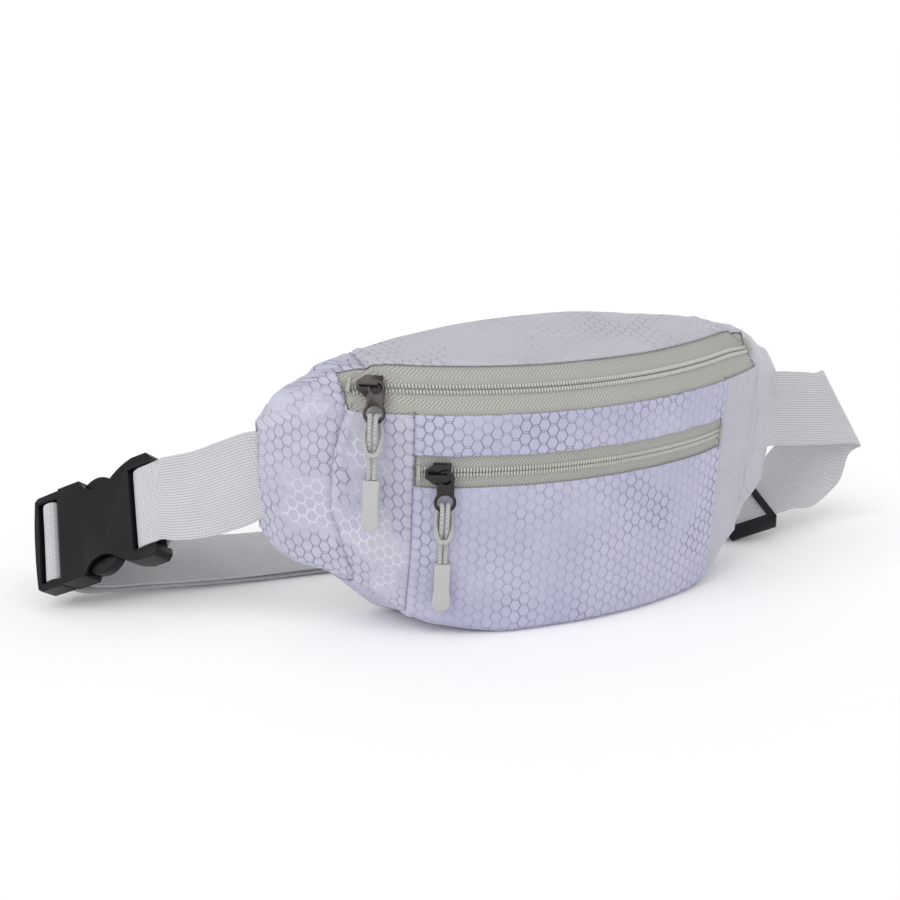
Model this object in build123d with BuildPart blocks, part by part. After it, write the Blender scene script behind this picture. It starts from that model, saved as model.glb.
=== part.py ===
"""Waist pack with a main zip, a front pocket zip and a buckled webbing belt, in millimetres.

X runs along the bag's width, Y towards the wearer's back, Z up, and z = 0 is the surface it stands on.
The origin is the middle of the bag's base. The whole front is one tilted cylinder, so both zips are
arcs about its axis and each slider turns about that axis.
"""
import os
from math import acos, asin, cos, radians, sin, sqrt, tan

from build123d import *

os.makedirs("parts", exist_ok=True)

# ---------------------------------------------------------------- driving dimensions
FRONT_RADIUS = 196.0        # cylinder of the front, about its tilted axis
FRONT_TILT = 5.5            # degrees that the axis leans forward
FRONT_MIDDLE = -40.0        # the front's foremost line, along the tilted depth axis
WALL = 1.2                  # fabric with its lining
SEAM_X = 76.0               # vertical seams between the pocket front and the side panels
WING_X = 102.0              # seams between the side panels and the wings
TIP_X = 132.0               # end of each wing
BACK_Y = 13.0               # back panel at the middle
TIP_BACK_Y = 6.0            # back of the wings at their tips
BAND_LOW = (196.0, 105.0)   # lower edge of the main zip band: radius, height up the axis
BAND_HIGH = (183.5, 122.5)  # its upper edge
MAIN_TEETH = 11.0           # teeth line, from the band's lower edge
MAIN_END_X = 100.0
POCKET_LOW = (196.0, 73.2)  # lower edge of the pocket zip band
POCKET_HIGH = (196.0, 87.4)
POCKET_TEETH = 6.8
COIL_WIDTH = 2.6
COIL_HEIGHT = 1.5
TEETH_GAP = 0.6             # half the gap that the slider's post runs in
MAIN_REST_X = -91.0         # slider positions with the zips closed
POCKET_REST_X = -67.0
WEBBING = 38.0
WEBBING_THICK = 1.6
CORD_DIAMETER = 2.0
BUCKLE_WIDTH = 47.0
BUCKLE_THICK = 12.0
GRIP_LENGTH = 22.0
GRIP_TOP = -24.2
TOP_HEIGHT = 130.0
MIDDLE_HEIGHT = 60.0
RIGHT_OUTLINE = [(70, 0), (79, 4), (106, 29), (120, 34), (129, 43), (TIP_X, 52), (TIP_X, 94), (128, 102),
                 (105, 116.5), (94, 119.5)]   # right half of the bag seen from the front, from its base up

# ---------------------------------------------------------------- frames
tilt = radians(FRONT_TILT)
ACROSS = Vector(1, 0, 0)
INWARD = Vector(0, cos(tilt), sin(tilt))
UPWARD = Vector(0, -sin(tilt), cos(tilt))
AXIS_POINT = INWARD * (FRONT_MIDDLE + FRONT_RADIUS)
FRONT_AXIS = Axis(AXIS_POINT, UPWARD)
SECTION = Plane(origin=AXIS_POINT, x_dir=INWARD, z_dir=(1, 0, 0))


def band_point(low, high, along, out):
    """Radius and height of a point of a zip band: along it from its lower edge, and out from it."""
    length = sqrt((high[0] - low[0]) ** 2 + (high[1] - low[1]) ** 2)
    ux, uy = (high[0] - low[0]) / length, (high[1] - low[1]) / length
    return (low[0] + along * ux + out * uy, low[1] + along * uy - out * ux)


def zip_plane(low, high, teeth, x):
    """Plane on the teeth line at x: x_dir along the zip, y_dir up the band, z_dir out of the bag."""
    radius, height = band_point(low, high, teeth, 0)
    turn = asin(x / radius)
    outward = ACROSS * sin(turn) - INWARD * cos(turn)
    along = ACROSS * cos(turn) + INWARD * sin(turn)
    step_r, step_h = band_point(low, high, teeth, 1)
    normal = outward * (step_r - radius) + UPWARD * (step_h - height)
    return Plane(origin=AXIS_POINT + outward * radius + UPWARD * height, x_dir=along, z_dir=normal)


def ring(points, half_width):
    """Ring about the front axis with the given section, cut off at x = +-half_width."""
    with BuildPart() as body:
        with BuildSketch(SECTION):
            with BuildLine():
                Polyline(*points, close=True)
            make_face()
        revolve(axis=FRONT_AXIS)
        with Locations((0, 0, 60)):
            Box(2 * half_width, 140, 400, mode=Mode.INTERSECT)
    return body.part


def band_ring(low, high, start, end, inner, outer, half_width):
    """Strip of a zip band between two distances along it and two heights out of it."""
    corners = [(start, inner), (end, inner), (end, outer), (start, outer)]
    return ring([band_point(low, high, along, out) for along, out in corners], half_width)


def block(x0, x1, y0, y1, z0, z1):
    """Plain box between two corners, used to select a region of the shell."""
    with BuildPart() as body:
        with Locations(((x0 + x1) / 2, (y0 + y1) / 2, (z0 + z1) / 2)):
            Box(x1 - x0, y1 - y0, z1 - z0)
    return body.part


def inset_front(x, z, inset):
    """Point of the front outline, drawn in towards the middle of the bag by about inset."""
    return (x * (1 - inset / TIP_X), MIDDLE_HEIGHT + (z - MIDDLE_HEIGHT) * (1 - inset / MIDDLE_HEIGHT))


def bag_form(inset):
    """Closed form of the bag, drawn in by inset on every side."""
    wall = FRONT_RADIUS - inset
    band_low = band_point(BAND_LOW, BAND_HIGH, 0.32 * inset, -inset)
    band_high = band_point(BAND_LOW, BAND_HIGH, 21.5 - 0.4 * inset, -inset)
    right = [inset_front(x, z, inset) for x, z in RIGHT_OUTLINE]
    left = [(-x, z) for x, z in reversed(right)]
    back, tip_back = BACK_Y - inset, TIP_BACK_Y - inset
    with BuildPart() as form:
        with BuildSketch(SECTION):
            with BuildLine():
                Polyline((100, -30), (wall, -30), (wall, band_low[1]), band_high)
                ThreePointArc(band_high, (160, 128.0 - inset), (100, 131.5 - inset))
                Line((100, 131.5 - inset), (100, -30))
            make_face()
        revolve(axis=FRONT_AXIS)
        with BuildSketch(Plane.XZ):
            with BuildLine():
                Polyline(*left, *right)
                ThreePointArc(right[-1], (0, TOP_HEIGHT - inset), left[0])
            make_face()
        extrude(amount=100, both=True, mode=Mode.INTERSECT)
        with BuildSketch(Plane.XY.offset(-10)):
            with BuildLine():
                ThreePointArc((-140, tip_back), (0, back), (140, tip_back))
                Polyline((140, tip_back), (140, -90), (-140, -90), (-140, tip_back))
            make_face()
        extrude(amount=160, mode=Mode.INTERSECT)
    return form.part


def slab(low, high, half_width):
    """Layer behind the bag's back, between two depths in from the back face."""
    with BuildPart() as body:
        with BuildSketch(Plane.XY.offset(-10)):
            with BuildLine():
                ThreePointArc((-140, TIP_BACK_Y - high), (0, BACK_Y - high), (140, TIP_BACK_Y - high))
                Line((140, TIP_BACK_Y - high), (140, TIP_BACK_Y - low))
                ThreePointArc((140, TIP_BACK_Y - low), (0, BACK_Y - low), (-140, TIP_BACK_Y - low))
                Line((-140, TIP_BACK_Y - low), (-140, TIP_BACK_Y - high))
            make_face()
        extrude(amount=160)
        Box(2 * half_width, 400, 400, mode=Mode.INTERSECT)
    return body.part


def strap(stations, width=WEBBING, thick=WEBBING_THICK):
    """Webbing through stations of (middle, direction of its width), as one closed solid."""
    with BuildPart() as body:
        for index, (middle, across) in enumerate(stations):
            before = Vector(*stations[max(index - 1, 0)][0])
            after = Vector(*stations[min(index + 1, len(stations) - 1)][0])
            across = Vector(*across).normalized()
            along = (after - before).normalized()
            with BuildSketch(Plane(origin=middle, x_dir=across, z_dir=along - across * along.dot(across))):
                Rectangle(width, thick)
        loft(ruled=True)
    return body.part


def cord_tube(points, plane):
    """Round cord through points given in a plane's own axes, straight runs joined by tangent arcs."""
    route = [plane.from_local_coords(Vector(*point)) for point in points]
    runs = [(b - a).length for a, b in zip(route, route[1:])]
    radii = []
    for index in range(1, len(route) - 1):
        into = (route[index] - route[index - 1]).normalized()
        out = (route[index + 1] - route[index]).normalized()
        turn = acos(max(-1, min(1, into.dot(out))))
        radii.append(0.45 * min(runs[index - 1], runs[index]) / tan(turn / 2))
    with BuildPart() as body:
        with BuildLine() as path:
            FilletPolyline(*route, radius=radii)
        with BuildSketch(Plane(origin=route[0], z_dir=route[1] - route[0])):
            Circle(CORD_DIAMETER / 2)
        sweep(path=path.wire())
    section = CORD_DIAMETER ** 2 * 3.14159 / 4
    print("cord: length", round(path.wire().length, 1), "volume ratio",
          round(body.part.volume / section / path.wire().length, 3), "radii", [round(r, 1) for r in radii])
    return body.part


def save(part, label):
    """Label a finished piece and write it as its own STEP."""
    part.label = label
    export_step(part, f"parts/{label}.step")


# ---------------------------------------------------------------- bag shell
outer_form = bag_form(0)
inner_form = bag_form(WALL)
band_length = sqrt((BAND_HIGH[0] - BAND_LOW[0]) ** 2 + (BAND_HIGH[1] - BAND_LOW[1]) ** 2)
pocket_band = POCKET_HIGH[1] - POCKET_LOW[1]
TAPE_X = MAIN_END_X + 1
main_cut = band_ring(BAND_LOW, BAND_HIGH, 0, band_length, -4, 4, TAPE_X)
pocket_cut = band_ring(POCKET_LOW, POCKET_HIGH, 0, pocket_band, -4, 4, SEAM_X)
back_slab = slab(0, WALL, WING_X)
inner_wall = FRONT_RADIUS - WALL
front_region = ring([(inner_wall, -30), (240, -30), band_point(BAND_LOW, BAND_HIGH, 0, 30),
                     band_point(BAND_LOW, BAND_HIGH, 0, -1.4), (inner_wall, 104)], 200)
top_region = ring([band_point(BAND_LOW, BAND_HIGH, band_length, 30),
                   band_point(BAND_LOW, BAND_HIGH, band_length, -2), (170, 106), (100, 106),
                   (100, 170), (200, 170)], 200)
WIDE, DEEP, TALL = 200, 100, 200

with BuildPart() as shell:
    add(outer_form)
    add(inner_form, mode=Mode.SUBTRACT)

with BuildPart() as open_shell:
    add(shell.part)
    for region in (main_cut, pocket_cut, back_slab):
        add(region, mode=Mode.SUBTRACT)

middle = block(-SEAM_X, SEAM_X, -DEEP, DEEP, -5, TALL)

with BuildPart() as back_panel:
    add(outer_form)
    add(back_slab, mode=Mode.INTERSECT)
save(back_panel.part, "back_panel")

with BuildPart() as back_padding:
    add(inner_form)
    add(slab(WALL, WALL + 3, 96), mode=Mode.INTERSECT)
save(back_padding.part, "back_padding")

with BuildPart() as top_panel:
    add(open_shell.part)
    add(top_region, mode=Mode.INTERSECT)
    add(block(-WING_X, WING_X, -DEEP, DEEP, -5, TALL), mode=Mode.INTERSECT)
save(top_panel.part, "top_panel")

with BuildPart() as strip_panel:
    add(open_shell.part)
    add(front_region, mode=Mode.INTERSECT)
    add(block(-SEAM_X, SEAM_X, -DEEP, DEEP, POCKET_HIGH[1] - 6, TALL), mode=Mode.INTERSECT)
save(strip_panel.part, "strip_panel")

with BuildPart() as pocket_panel:
    add(open_shell.part)
    add(front_region, mode=Mode.INTERSECT)
    add(block(-SEAM_X, SEAM_X, -DEEP, DEEP, -5, POCKET_HIGH[1] - 6), mode=Mode.INTERSECT)
save(pocket_panel.part, "pocket_panel")

with BuildPart() as bottom_panel:
    add(open_shell.part)
    add(front_region, mode=Mode.SUBTRACT)
    add(block(-SEAM_X, SEAM_X, -DEEP, DEEP, -5, 50), mode=Mode.INTERSECT)
save(bottom_panel.part, "bottom_panel")

# ---------------------------------------------------------------- belt runs
BUCKLE_END = Vector(-212, 92, 22.5)
BUCKLE_ALONG = Vector(0.707, -0.586, 0.395).normalized()
BUCKLE_FACE = Vector(-0.694, -0.484, 0.532)
BUCKLE = Plane(origin=BUCKLE_END, x_dir=BUCKLE_ALONG,
               z_dir=BUCKLE_FACE - BUCKLE_ALONG * BUCKLE_FACE.dot(BUCKLE_ALONG))
BUCKLE_UP = tuple(BUCKLE.y_dir)
UPRIGHT = (0, 0, 1)


def on_buckle(x, y, z):
    """Point given along, up and out of the buckle."""
    return tuple(BUCKLE.from_local_coords(Vector(x, y, z)))


left_run = [((-118, 1.5, 73), UPRIGHT), ((-133, 5.2, 72), UPRIGHT), ((-143, 15, 66), (0, 0.15, 1)),
            ((-152, 28, 59), (0, 0.35, 1)), ((-160, 41, 54.5), (0.05, 0.6, 0.9)),
            (on_buckle(70.3, 0, 2), BUCKLE_UP)]
GLIDE_MIDDLE = Vector(137, 37, 15.5)
GLIDE_WIDTH = Vector(0, 0.94, 0.34)
GLIDE_RIGHT = Vector(0.96, -0.168, 0.224).normalized()
GLIDE = Plane(origin=GLIDE_MIDDLE, x_dir=GLIDE_RIGHT, z_dir=GLIDE_RIGHT.cross(GLIDE_WIDTH))
glide_up = tuple(GLIDE.y_dir)
glide_left = tuple(GLIDE.from_local_coords(Vector(-25, 0, 0)))
glide_right = tuple(GLIDE.from_local_coords(Vector(25, 0, 0)))
right_run = [((118, 1.5, 73), UPRIGHT), ((133, 5.2, 73), UPRIGHT), ((150, 8, 71.5), (-0.05, 0, 1)),
             ((164, 10, 69), (-0.22, 0.02, 0.97)), ((176, 13.5, 64), (-0.44, 0.05, 0.89)),
             ((184, 20, 59), (-0.52, 0.06, 0.85)), ((186, 28, 54.5), (-0.52, 0.06, 0.85)),
             ((181, 35, 47.5), (-0.48, 0.2, 0.85)), ((172, 37, 36), (-0.3, 0.55, 0.78)),
             (glide_right, glide_up), (glide_left, glide_up)]
outer_run = [(on_buckle(9.9, 0, -5.9), BUCKLE_UP), (on_buckle(10.4, 0, -13), (0.08, 0.76, 0.64)),
             ((-186, 93, 14), (0, 0.88, 0.48)), ((-165, 91, 11), (0, 0.94, 0.35)),
             ((-125, 85, 8), (0, 0.97, 0.24)), ((-60, 78, 7.6), (0, 0.975, 0.22)),
             ((20, 64, 8.4), (0, 0.97, 0.24)), ((80, 50, 10), (0, 0.96, 0.3)),
             (tuple(GLIDE.from_local_coords(Vector(-25.5, 0, 0))), glide_up)]
inner_run = [(on_buckle(6.9, 0, -5.9), BUCKLE_UP), (on_buckle(6.6, 0, -14), (0.08, 0.76, 0.64)),
             ((-186, 95.5, 11.2), (0, 0.88, 0.48)), ((-165, 92.5, 8.4), (0, 0.94, 0.35)),
             ((-125, 86, 5.6), (0, 0.97, 0.24)), ((-60, 79, 5.2), (0, 0.975, 0.22)),
             ((20, 65, 6), (0, 0.97, 0.24)), ((80, 51, 7.6), (0, 0.96, 0.3)),
             (tuple(GLIDE.from_local_coords(Vector(-22, 0, -3.4))), glide_up),
             (tuple(GLIDE.from_local_coords(Vector(-3.8, 0, -3.4))), glide_up)]
belts = {"belt_left": left_run, "belt_right": right_run, "belt_long_outer": outer_run,
         "belt_long_inner": inner_run}
for label, run in belts.items():
    belts[label] = strap(run)
    save(belts[label], label)

# ---------------------------------------------------------------- side panels and wings
for side, sign, belt in (("left", -1, "belt_left"), ("right", 1, "belt_right")):
    near, far = sorted((sign * SEAM_X, sign * WING_X))
    with BuildPart() as side_panel:
        add(open_shell.part)
        add(top_region, mode=Mode.SUBTRACT)
        add(block(near, far, -DEEP, DEEP, -5, TALL), mode=Mode.INTERSECT)
    save(side_panel.part, f"side_panel_{side}")
    near, far = sorted((sign * WING_X, sign * WIDE))
    with BuildPart() as wing:
        add(shell.part)
        add(block(near, far, -DEEP, DEEP, -5, TALL), mode=Mode.INTERSECT)
        add(belts[belt], mode=Mode.SUBTRACT)
    save(wing.part, f"wing_{side}")

# ---------------------------------------------------------------- front pocket lining
DIVIDER = Plane(origin=INWARD * -20 + UPWARD * 48, x_dir=ACROSS, z_dir=-INWARD)
with BuildPart() as pocket_divider:
    with Locations(DIVIDER):
        Box(2 * SEAM_X, 98, 1)
        with Locations((0, 48.5, 12)):
            Box(2 * SEAM_X, 1, 24)
        with Locations((SEAM_X - 0.5, 0, 10), (0.5 - SEAM_X, 0, 10)):
            Box(1, 98, 20)
    add(inner_form, mode=Mode.INTERSECT)
save(pocket_divider.part, "pocket_divider")


# ---------------------------------------------------------------- zips
def make_zip(name, low, high, teeth, tape_x, coil_x):
    """Two tapes, two coils and the end stops of one zip."""
    length = sqrt((high[0] - low[0]) ** 2 + (high[1] - low[1]) ** 2)
    lower, upper = teeth - TEETH_GAP, teeth + TEETH_GAP
    for label, start, end in (("lower", 0, lower), ("upper", upper, length)):
        band = band_ring(low, high, start, end, -WALL, 0, tape_x)
        with BuildPart() as tape:
            add(band)
            add(outer_form, mode=Mode.INTERSECT)
        save(tape.part, f"{name}_tape_{label}")
    save(band_ring(low, high, lower - COIL_WIDTH, lower, 0, COIL_HEIGHT, coil_x), f"{name}_coil_lower")
    save(band_ring(low, high, upper, upper + COIL_WIDTH, 0, COIL_HEIGHT, coil_x), f"{name}_coil_upper")
    with BuildPart() as stops:
        for x in (-coil_x - 2.2, coil_x + 2.2):
            with BuildSketch(zip_plane(low, high, teeth, x)):
                RectangleRounded(1.4, 6.4, 0.4)
            extrude(amount=2.2)
    save(stops.part, f"{name}_stops")


def make_slider(plane, name):
    """Slider body: two plates joined by the post, side flanges and the bridge over the tab's eye."""
    with BuildPart() as slider:
        for height, thick in ((-2.8, 1.3), (1.8, 1.1)):
            with BuildSketch(plane.offset(height)):
                with BuildLine():
                    Polyline((-5.6, -1.6), (-2.2, -4.4), (5.2, -4.4), (5.2, 4.4), (-2.2, 4.4), (-5.6, 1.6),
                             close=True)
                make_face()
            extrude(amount=thick)
        with BuildSketch(plane.offset(0.3)):
            with Locations((1.5, 3.95), (1.5, -3.95)):
                Rectangle(7.4, 0.9)
        extrude(amount=1.6)
        with BuildSketch(plane.offset(-1.6)):
            with Locations((-3.6, 0)):
                Rectangle(1.8, TEETH_GAP)
        extrude(amount=3.5)
        with BuildSketch(plane.offset(2.8)):
            with Locations((2.8, 0)):
                Circle(0.6)
            with Locations((-3.7, 0)):
                Rectangle(1.2, 1.2)
        extrude(amount=2.0)
        with BuildSketch(plane.offset(4.4)):
            with Locations((-0.5, 0)):
                SlotOverall(8.4, 1.5)
        extrude(amount=1)
    save(slider.part, f"{name}_slider")


def make_tab(plane, name):
    """Pull tab: round eye on the slider's foot, a waist, and an open ring for the cord."""
    with BuildPart() as tab:
        with BuildSketch(plane.offset(3.2)):
            with Locations((3, -1.6)):
                Circle(3.7)
            with Locations((3, -7)):
                Rectangle(7.2, 6)
            with Locations((3, -12.2)):
                Circle(4.7)
            with Locations((3, -1.6)):
                Circle(2.45, mode=Mode.SUBTRACT)
            with Locations((3, -12.2)):
                Circle(3.35, mode=Mode.SUBTRACT)
        extrude(amount=0.9)
    save(tab.part, f"{name}_tab")


CORD_HALF = [(-1.1, -24, 0), (-1.1, -18, -0.4), (-1.1, -12, -0.4), (-1.1, -5.5, 1.9), (-1.1, 2.9, 2.3),
             (-1.7, 2.9, -2.3), (-3.6, -3.8, -1.7), (-3.3, -9.4, 0.8), (-2.1, -13.3, 2.3)]
CORD_ROUTE = CORD_HALF + [(-x, y, z) for x, y, z in reversed(CORD_HALF)]


def make_pull(plane, name):
    """Cord loop hitched round the tab's ring, and the rubber grip on its two ends."""
    save(cord_tube(CORD_ROUTE, plane), f"{name}_cord")
    with BuildPart() as grip:
        with BuildSketch(plane.offset(-1.8)):
            with BuildLine():
                Polyline((-4, GRIP_TOP - 18), (-3.3, GRIP_TOP - 12), (-3.5, GRIP_TOP), (3.5, GRIP_TOP),
                         (3.3, GRIP_TOP - 12), (4, GRIP_TOP - 18))
                ThreePointArc((4, GRIP_TOP - 18), (0, GRIP_TOP - GRIP_LENGTH), (-4, GRIP_TOP - 18))
            make_face()
        extrude(amount=3.6)
    save(grip.part, f"{name}_grip")


def pull_plane(slider_plane, lean):
    """Plane on the rim that the cord is hitched to, hanging down with a small outward lean."""
    rim = slider_plane.from_local_coords(Vector(3, -16.1, 3.65))
    along = slider_plane.x_dir
    outward = along.cross(UPWARD)
    normal = outward * cos(radians(lean)) + UPWARD * sin(radians(lean))
    return Plane(origin=rim, x_dir=along, z_dir=normal)


make_zip("main", BAND_LOW, BAND_HIGH, MAIN_TEETH, TAPE_X, MAIN_END_X - 3.6)
make_zip("pocket", POCKET_LOW, POCKET_HIGH, POCKET_TEETH, SEAM_X, SEAM_X - 3.6)
main_plane = zip_plane(BAND_LOW, BAND_HIGH, MAIN_TEETH, MAIN_REST_X)
pocket_plane = zip_plane(POCKET_LOW, POCKET_HIGH, POCKET_TEETH, POCKET_REST_X)
for name, plane, lean in (("main", main_plane, 6), ("pocket", pocket_plane, 0)):
    make_slider(plane, name)
    make_tab(plane, name)
    make_pull(pull_plane(plane, lean), name)


# ---------------------------------------------------------------- buckle
def loop_round_bar(plane, x0, x1, half_height, half_width):
    """Webbing wrapped round a bar, seen from its edge as a flat ring."""
    with BuildPart() as loop:
        with BuildSketch(Plane(origin=plane.from_local_coords(Vector(0, half_width, 0)),
                               x_dir=plane.x_dir, z_dir=-plane.y_dir)):
            with Locations(((x0 + x1) / 2, 0)):
                RectangleRounded(x1 - x0, 2 * half_height, 1.6)
                RectangleRounded(x1 - x0 - 2 * WEBBING_THICK, 2 * (half_height - WEBBING_THICK), 0.3,
                                 mode=Mode.SUBTRACT)
        extrude(amount=2 * half_width)
    return loop.part


HALF = WEBBING / 2
HALF_BUCKLE = BUCKLE_WIDTH / 2
with BuildPart() as buckle_male:
    with BuildSketch(BUCKLE.offset(-5)):
        with BuildLine():
            ThreePointArc((1, -21.8), (0, 0), (1, 21.8))
            Polyline((1, 21.8), (3, 23.2), (15.3, HALF_BUCKLE), (15.3, -HALF_BUCKLE), (3, -23.2), (1, -21.8))
        make_face()
        with Locations((4.7, 0), (12.2, 0)):
            Rectangle(3.3, 2 * HALF + 1.2, mode=Mode.SUBTRACT)
    extrude(amount=10)
    for z in (3.2, -5.1):
        with BuildSketch(BUCKLE.offset(z)):
            with Locations((8.4, 0)):
                Rectangle(5.2, 2 * HALF + 1.2)
        extrude(amount=1.9, mode=Mode.SUBTRACT)
    with BuildSketch(BUCKLE.offset(-2)):
        with Locations((30, 0)):
            Rectangle(31, 7)
    extrude(amount=4)
save(buckle_male.part, "buckle_male")

with BuildPart() as buckle_female:
    with BuildSketch(BUCKLE.offset(-BUCKLE_THICK / 2)):
        with BuildLine():
            Line((15.7, -HALF_BUCKLE), (15.7, HALF_BUCKLE))
            Line((15.7, HALF_BUCKLE), (28, HALF_BUCKLE))
            ThreePointArc((28, HALF_BUCKLE), (36, 16.5), (46, 19.5))
            ThreePointArc((46, 19.5), (52, 23), (58, 25))
            Polyline((58, 25), (66, 25), (68, 22.5), (68, -22.5), (66, -25), (58, -25))
            ThreePointArc((58, -25), (52, -23), (46, -19.5))
            ThreePointArc((46, -19.5), (36, -16.5), (28, -HALF_BUCKLE))
            Line((28, -HALF_BUCKLE), (15.7, -HALF_BUCKLE))
        make_face()
        with Locations((58, 0)):
            Rectangle(5, 2 * HALF + 1.2, mode=Mode.SUBTRACT)
    extrude(amount=BUCKLE_THICK)
    with BuildSketch(BUCKLE.offset(-3.6)):
        with Locations((32.5, 0)):
            Rectangle(35, 39)
        with Locations((37.2, 0)):
            Rectangle(17.6, 60)
    extrude(amount=7.2, mode=Mode.SUBTRACT)
    for z in (2.5, -6.1):
        with BuildSketch(BUCKLE.offset(z)):
            with Locations((66, 0)):
                Rectangle(12, 2 * HALF + 1.2)
        extrude(amount=3.6, mode=Mode.SUBTRACT)
save(buckle_female.part, "buckle_female")

for label, sign in (("buckle_arm_upper", 1), ("buckle_arm_lower", -1)):
    with BuildPart() as arm:
        with BuildSketch(BUCKLE.offset(-3)):
            with BuildLine():
                Polyline((44.6, sign * 19), (44.9, sign * 16.2), (36, sign * 16.4), (28, sign * 13.4),
                         (20, sign * 9.3), (15.6, sign * 8.6), (15.6, sign * 12.4), (27.6, sign * 17.4),
                         (29.2, sign * 21.2))
                ThreePointArc((29.2, sign * 21.2), (37, sign * 23.4), (44.6, sign * 19))
            make_face()
        extrude(amount=6)
    save(arm.part, label)

save(loop_round_bar(BUCKLE, 4.5, 12.3, 4.9, HALF), "belt_male_loop")
save(loop_round_bar(BUCKLE, 58.8, 69.9, 4.2, HALF), "belt_female_loop")

# ---------------------------------------------------------------- strap adjuster
with BuildPart() as triglide:
    with BuildSketch(GLIDE.offset(-4.6)):
        with Locations((0, 21.6), (0, -21.6)):
            RectangleRounded(26, 3.8, 1.2)
    extrude(amount=7.3)
    with BuildSketch(GLIDE.offset(1.1)):
        with Locations((11.3, 0), (-11.3, 0)):
            Rectangle(3.4, 41)
    extrude(amount=1.6)
    with BuildSketch(GLIDE.offset(-4.4)):
        Rectangle(3.2, 41)
    extrude(amount=1.6)
save(triglide.part, "triglide")
save(loop_round_bar(GLIDE.offset(-3.6), -3.4, 3.4, 2.5, HALF), "belt_adjuster_loop")
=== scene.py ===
"""Waist pack with honeycomb fabric, two zips, webbing belt and side-release buckle. Metres in the scene,
millimetres in the numbers below."""
import math
import bmesh
import bpy
import numpy as np
from mathutils import Matrix, Vector


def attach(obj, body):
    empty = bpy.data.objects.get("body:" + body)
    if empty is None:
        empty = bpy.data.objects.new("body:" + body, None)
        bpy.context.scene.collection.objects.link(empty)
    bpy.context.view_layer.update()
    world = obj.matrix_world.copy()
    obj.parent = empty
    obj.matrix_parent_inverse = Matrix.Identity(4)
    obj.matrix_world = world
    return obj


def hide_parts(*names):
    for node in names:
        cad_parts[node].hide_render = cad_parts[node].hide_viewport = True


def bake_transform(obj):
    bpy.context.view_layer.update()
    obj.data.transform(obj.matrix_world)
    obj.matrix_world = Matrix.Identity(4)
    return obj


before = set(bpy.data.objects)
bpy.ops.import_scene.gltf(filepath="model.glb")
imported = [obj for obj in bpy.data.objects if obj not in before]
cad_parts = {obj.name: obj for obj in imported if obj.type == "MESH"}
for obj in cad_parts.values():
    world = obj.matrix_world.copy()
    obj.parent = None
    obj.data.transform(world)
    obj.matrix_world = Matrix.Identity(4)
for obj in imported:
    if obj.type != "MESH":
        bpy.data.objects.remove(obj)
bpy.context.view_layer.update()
MM = 0.001

# ------------------------------------------------------------------ sizes, as in the CAD model
TILT = math.radians(5.5)
COS, SIN = math.cos(TILT), math.sin(TILT)
FRONT_RADIUS, AXIS_DEPTH = 196.0, 156.0
SEAM_X, WING_X, TIP_X, TAPE_X = 76.0, 102.0, 132.0, 101.0
BAND_LOW, BAND_HIGH = (196.0, 105.0), (183.5, 122.5)
MAIN_TEETH, POCKET_TEETH, POCKET_LOW, POCKET_HIGH = 11.0, 80.0, 73.2, 87.4
BAND_LENGTH = math.hypot(BAND_HIGH[0] - BAND_LOW[0], BAND_HIGH[1] - BAND_LOW[1])
GAP = 0.6
LOW_X = (0, 66, 79, 106, 120, 129, 132)
LOW_Z = (0, 0, 4, 29, 34, 43, 52)
HIGH_X = (94, 105, 128, 132)
HIGH_Z = (119.5, 116.5, 102, 94)


# ------------------------------------------------------------------ shader helpers
TONE = 0.86
NOISE_ROUGHNESS, SHEEN_ROUGHNESS = 0.55, 0.4


def srgb(*values):
    """Linear colour of display values out of 255, as they should look in this light."""
    out = [TONE * ((v / 255 + 0.055) / 1.055) ** 2.4 for v in values]
    return (*out, 1.0)


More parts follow.
